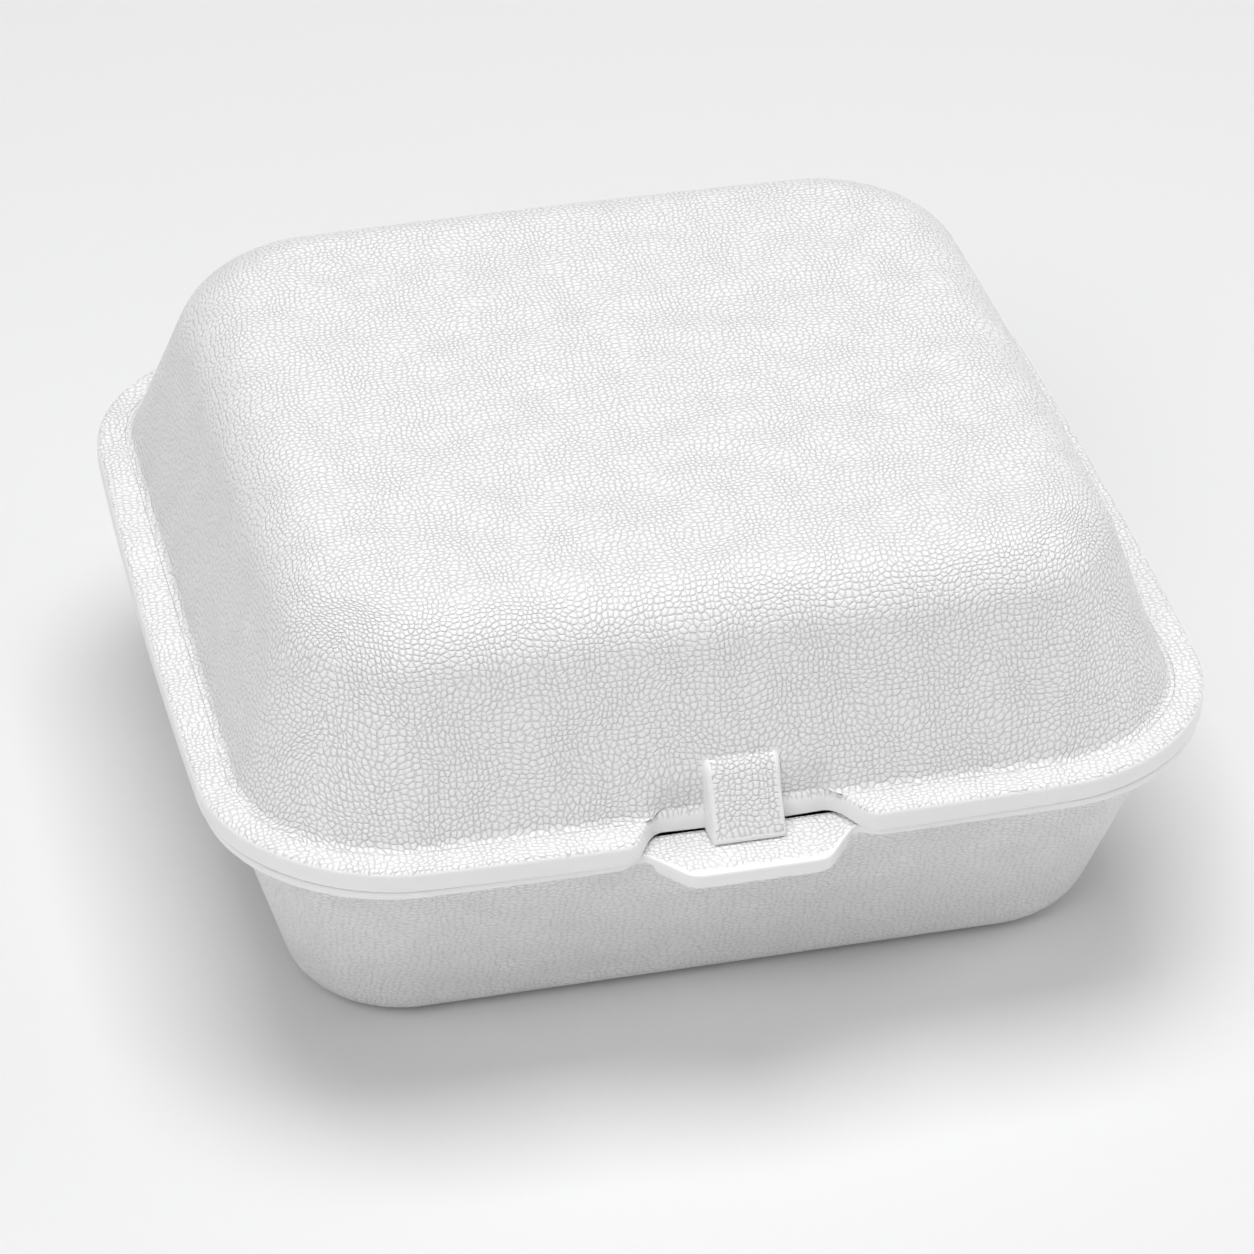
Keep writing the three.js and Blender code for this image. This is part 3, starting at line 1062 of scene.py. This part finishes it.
class Nodes:
    """A material's node tree that is filled one node at a time."""

    def __init__(self, name: str) -> None:
        """Starts an empty material.

        Args:
            name: Name of the material.
        """
        self.material = bpy.data.materials.new(name)
        self.material.use_nodes = True
        self.tree = self.material.node_tree
        self.tree.nodes.clear()

    def add(self, kind: str, options: dict, values: dict, links: dict) -> bpy.types.Node:
        """Adds a node with its settings and incoming links.

        Args:
            kind: The node's type.
            options: Its own settings.
            values: Values of its sockets, by name or place.
            links: Sockets that feed it, by name or place.

        Returns:
            The node.
        """
        node = self.tree.nodes.new(kind)
        for key, value in options.items():
            setattr(node, key, value)
        for key, value in values.items():
            node.inputs[key].default_value = value
        for key, source in links.items():
            self.tree.links.new(source, node.inputs[key])
        return node

    def maths(self, operation: str, first: Socket, second: float | Socket) -> Socket:
        """Joins two numbers.

        Args:
            operation: The Math node's operation.
            first: The first number's socket.
            second: The second number or its socket.

        Returns:
            The result's socket.
        """
        given = isinstance(second, Socket)
        values = {} if given else {1: second}
        links = {0: first, 1: second} if given else {0: first}
        return self.add("ShaderNodeMath", {"operation": operation}, values, links).outputs[0]

    def attribute(self, name: str) -> bpy.types.Node:
        """Reads values that are stored on the mesh."""
        return self.add("ShaderNodeAttribute", {"attribute_name": name}, {}, {})


@dataclass(frozen=True)
class MouldedFoam:
    """White polystyrene foam, moulded hot from an extruded sheet: soft, bright, and beaded all over."""

    # Widths of a cell in millimetres, set against the photo: plain ones, and those on the base's walls
    cell: float = 0.76
    drawn_cell: float = 0.66
    pull: tuple[float, float, float] = (0.75, 1.15, 1.0)
    randomness: float = 0.72
    # How far, in millimetres, the pattern drifts, and how often for each millimetre
    drift: float = 2.4
    drift_scale: float = 0.11
    # How round the cells are: height lost at their corners, and the distance at which it is lost
    dome: float = 0.25
    dome_reach: float = 0.7
    # Height added where the cells fade out, which lifts the foam clear of the grooves
    fade: float = 0.6
    # Depth of the grooves in millimetres, and the relief as greys, from a groove up onto a cell
    relief: float = 0.21
    rises: tuple[tuple[float, str], ...] = (
        (0.0, "000000"),
        (0.12, "707070"),
        (0.25, "B4B4B4"),
        (0.4, "DADADA"),
        (0.6, "E8E8E8"),
    )
    # Painted shade: colour darkened in and near each groove, where the foam shades itself, rising to a cell's
    # bright middle
    painted_groove_shade: tuple[tuple[float, str], ...] = ((0.08, "EFEFEF"), (0.24, "F8F8F8"), (0.4, "FDFDFD"))
    roughness: float = 0.34
    ior: float = 1.5

    def material(self) -> bpy.types.Material:
        """Builds the material from two sizes of closed cell that share one finish."""
        nodes = Nodes("moulded_polystyrene_foam")
        place = self.wander(nodes, nodes.attribute("flat").outputs["Vector"])
        pulled = nodes.add("ShaderNodeMapping", {}, {"Scale": self.pull}, {"Vector": place}).outputs[0]
        plain = self.cells(nodes, place, 1 / self.cell)
        narrow = self.cells(nodes, pulled, 1 / self.drawn_cell)
        drawn = nodes.attribute("drawn").outputs["Fac"]
        cells = nodes.add("ShaderNodeMix", {"data_type": "FLOAT"}, {}, {0: drawn, 2: plain, 3: narrow})
        return self.finish(nodes, cells.outputs[0], nodes.attribute("beads").outputs["Fac"])

    def wander(self, nodes: Nodes, place: Socket) -> Socket:
        """Lets the cells' size and direction drift a little over centimetres.

        Args:
            nodes: The material's tree.
            place: Flat place on the skin.

        Returns:
            The moved place's socket.
        """
        values = {"Scale": self.drift_scale, "Detail": 1.0}
        noise = nodes.add("ShaderNodeTexNoise", {"noise_dimensions": "2D"}, values, {"Vector": place})
        links = {0: noise.outputs["Color"]}
        shift = nodes.add("ShaderNodeVectorMath", {"operation": "SCALE"}, {"Scale": self.drift}, links)
        links = {0: place, 1: shift.outputs[0]}
        return nodes.add("ShaderNodeVectorMath", {"operation": "ADD"}, {}, links).outputs[0]

    def cells(self, nodes: Nodes, place: Socket, scale: float) -> Socket:
        """Height up a closed cell's side: 0 in the grooves, and rounded off in the cell's corners.

        Args:
            nodes: The material's tree.
            place: Flat place on the skin.
            scale: Cells for each millimetre.

        Returns:
            The height's socket, in cells.
        """
        links = {"Vector": place}
        values = {"Scale": scale, "Randomness": self.randomness}
        kind = "ShaderNodeTexVoronoi"
        side = nodes.add(kind, {"voronoi_dimensions": "2D", "feature": "DISTANCE_TO_EDGE"}, values, links)
        middle = nodes.add(kind, {"voronoi_dimensions": "2D", "feature": "F1"}, values, links)
        away = nodes.maths("POWER", nodes.maths("DIVIDE", middle.outputs["Distance"], self.dome_reach), 2.0)
        raised = nodes.maths("ADD", side.outputs["Distance"], self.dome)
        return nodes.maths("SUBTRACT", raised, nodes.maths("MULTIPLY", away, self.dome))

    def finish(self, nodes: Nodes, edge: Socket, beads: Socket) -> bpy.types.Material:
        """Turns the cells into relief, and into colour with painted shade darkening the grooves, on a soft,
        slightly glossy foam.

        Args:
            nodes: The material's tree.
            edge: Height up a cell's side, in cells.
            beads: Strength of the pattern.

        Returns:
            The finished material.
        """
        faded = nodes.maths("MULTIPLY", nodes.maths("SUBTRACT", beads, 1.0), -self.fade)
        side = {"Fac": nodes.maths("ADD", edge, faded)}
        # Colour ramp that paints shade into the grooves: darkest at a groove, lightest on a cell's middle
        groove_shaded_colour = nodes.add("ShaderNodeValToRGB", {}, {}, side)
        self.stops(groove_shaded_colour, self.painted_groove_shade)
        rise = nodes.add("ShaderNodeValToRGB", {}, {}, side)
        self.stops(rise, self.rises)
        values = {"Strength": 1.0, "Distance": self.relief * MM}
        bump = nodes.add("ShaderNodeBump", {}, values, {"Height": rise.outputs["Color"]})
        values = {"Roughness": self.roughness, "IOR": self.ior}
        links = {"Base Color": groove_shaded_colour.outputs["Color"], "Normal": bump.outputs["Normal"]}
        shader = nodes.add("ShaderNodeBsdfPrincipled", {}, values, links)
        nodes.add("ShaderNodeOutputMaterial", {}, {}, {"Surface": shader.outputs[0]})
        return nodes.material

    @staticmethod
    def stops(ramp: bpy.types.Node, stops: tuple[tuple[float, str], ...]) -> None:
        """Sets a colour ramp's stops.

        Args:
            ramp: The ramp node.
            stops: Place and sRGB colour of each stop.
        """
        elements = ramp.color_ramp.elements
        while len(elements) > 1:
            elements.remove(elements[-1])
        elements[0].position, elements[0].color = stops[0][0], linear(stops[0][1])
        for place, colour in stops[1:]:
            elements.new(place).color = linear(colour)


@dataclass(frozen=True)
class MattPaper:
    """Uncoated white paper, rolled smooth: it takes soft shadows and shows no gloss."""

    colour: str = "F0F0F0"
    roughness: float = 0.9
    ior: float = 1.4

    def material(self) -> bpy.types.Material:
        """Builds the plain matt material."""
        nodes = Nodes("matt_paper_floor")
        values = {"Base Color": linear(self.colour), "Roughness": self.roughness, "IOR": self.ior}
        shader = nodes.add("ShaderNodeBsdfPrincipled", {}, values, {})
        nodes.add("ShaderNodeOutputMaterial", {}, {}, {"Surface": shader.outputs[0]})
        return nodes.material


@dataclass(frozen=True)
class Lamp:
    """A square area light that faces the box."""

    name: str
    place: tuple[float, float, float]
    size: float
    energy: float


@dataclass(frozen=True)
class Studio:
    """Pale floor, soft overhead light with a key from the front left, and the camera."""

    lamps: tuple[Lamp, ...] = (
        Lamp("overhead", (0.0, 0.1, 1.0), 0.7, 7.1),
        Lamp("key", (-0.45, -0.6, 0.75), 0.45, 2.2),
        Lamp("front", (0.0, -1.2, 0.5), 1.0, 1.1),
        Lamp("right", (1.2, 0.0, 0.5), 1.0, 3.8),
        Lamp("left", (-1.2, 0.0, 0.5), 1.0, 0.8),
    )
    ambient: float = 0.19
    room_colour: str = "F4F5F6"
    floor_radius: float = 4.0
    floor_sides: int = 96
    # The camera was fitted to the photograph: millimetres of lens and sensor, degrees, and metres
    lens: float = 156.42
    sensor: float = 36.0
    nearest: float = 0.05
    yaw: float = -13.349
    pitch: float = 33.929
    roll: float = 0.093
    place: tuple[float, float, float] = (-0.141995, -0.594027, 0.436126)

    def build(self) -> None:
        """Makes the floor, lights and camera."""
        self.floor()
        self.world()
        for lamp in self.lamps:
            self.light(lamp)
        self.camera()

    def floor(self) -> None:
        """Lays the matt paper floor, which isn't part of the object."""
        sides, radius = self.floor_sides, self.floor_radius
        bpy.ops.mesh.primitive_circle_add(vertices=sides, radius=radius, fill_type="NGON", location=(0, 0, 0))
        made = bpy.context.object
        made.name = "studio_floor"
        made.data.materials.append(MattPaper().material())

    def world(self) -> None:
        """Fills the room with pale, even light."""
        world = bpy.data.worlds.new("studio_world")
        world.use_nodes = True
        background = world.node_tree.nodes["Background"]
        background.inputs["Color"].default_value = linear(self.room_colour)
        background.inputs["Strength"].default_value = self.ambient
        bpy.context.scene.world = world
        bpy.context.scene.view_settings.view_transform = "Standard"

    def light(self, lamp: Lamp) -> None:
        """Hangs a light.

        Args:
            lamp: Its name, place, size and power.
        """
        data = bpy.data.lights.new(lamp.name, "AREA")
        data.shape = "SQUARE"
        data.size = lamp.size
        data.energy = lamp.energy
        made = bpy.data.objects.new(lamp.name, data)
        made.location = lamp.place
        made.rotation_euler = (-Vector(lamp.place)).to_track_quat("-Z", "Y").to_euler()
        bpy.context.scene.collection.objects.link(made)

    def camera(self) -> None:
        """Sets the camera where the photograph was taken from."""
        yaw, pitch, roll = (math.radians(a) for a in (self.yaw, self.pitch, self.roll))
        back = Vector((math.sin(yaw) * math.cos(pitch), -math.cos(yaw) * math.cos(pitch), math.sin(pitch)))
        right = Vector((math.cos(yaw), math.sin(yaw), 0.0))
        up = back.cross(right)
        turned_right = right * math.cos(roll) + up * math.sin(roll)
        turned_up = up * math.cos(roll) - right * math.sin(roll)
        basis = Matrix((turned_right, turned_up, back)).transposed().to_4x4()
        data = bpy.data.cameras.new("camera")
        data.lens = self.lens
        data.sensor_width = self.sensor
        data.dof.use_dof = False
        data.clip_start = self.nearest
        made = bpy.data.objects.new("camera", data)
        made.matrix_world = Matrix.Translation(self.place) @ basis
        bpy.context.scene.collection.objects.link(made)
        bpy.context.scene.camera = made


class BurgerBox:
    """The whole box: both halves and the fold, all of one foam."""

    def build(self) -> None:
        """Makes the pieces and binds the lid and the base to their bodies; the fold's strip is only baked in
        place.
        """
        foam = MouldedFoam().material()
        lid = LidShell().build()
        base = BaseShell().build()
        fold = Fold()
        strip = fold.build()
        for piece in (lid, base, strip):
            piece.data.materials.append(foam)
            log.info("%s: %d faces", piece.name, len(piece.data.polygons))
        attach(lid, "lid_body")
        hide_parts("lid")
        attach(base, "base_body")
        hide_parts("base")
        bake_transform(strip)
        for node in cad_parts.values():
            node.data.materials.clear()
            node.data.materials.append(foam)


def main() -> None:
    """Builds the box and its setting."""
    logging.basicConfig(level=logging.INFO, format="%(name)s: %(message)s")
    BurgerBox().build()
    Studio().build()


if __name__ == "__main__":
    main()
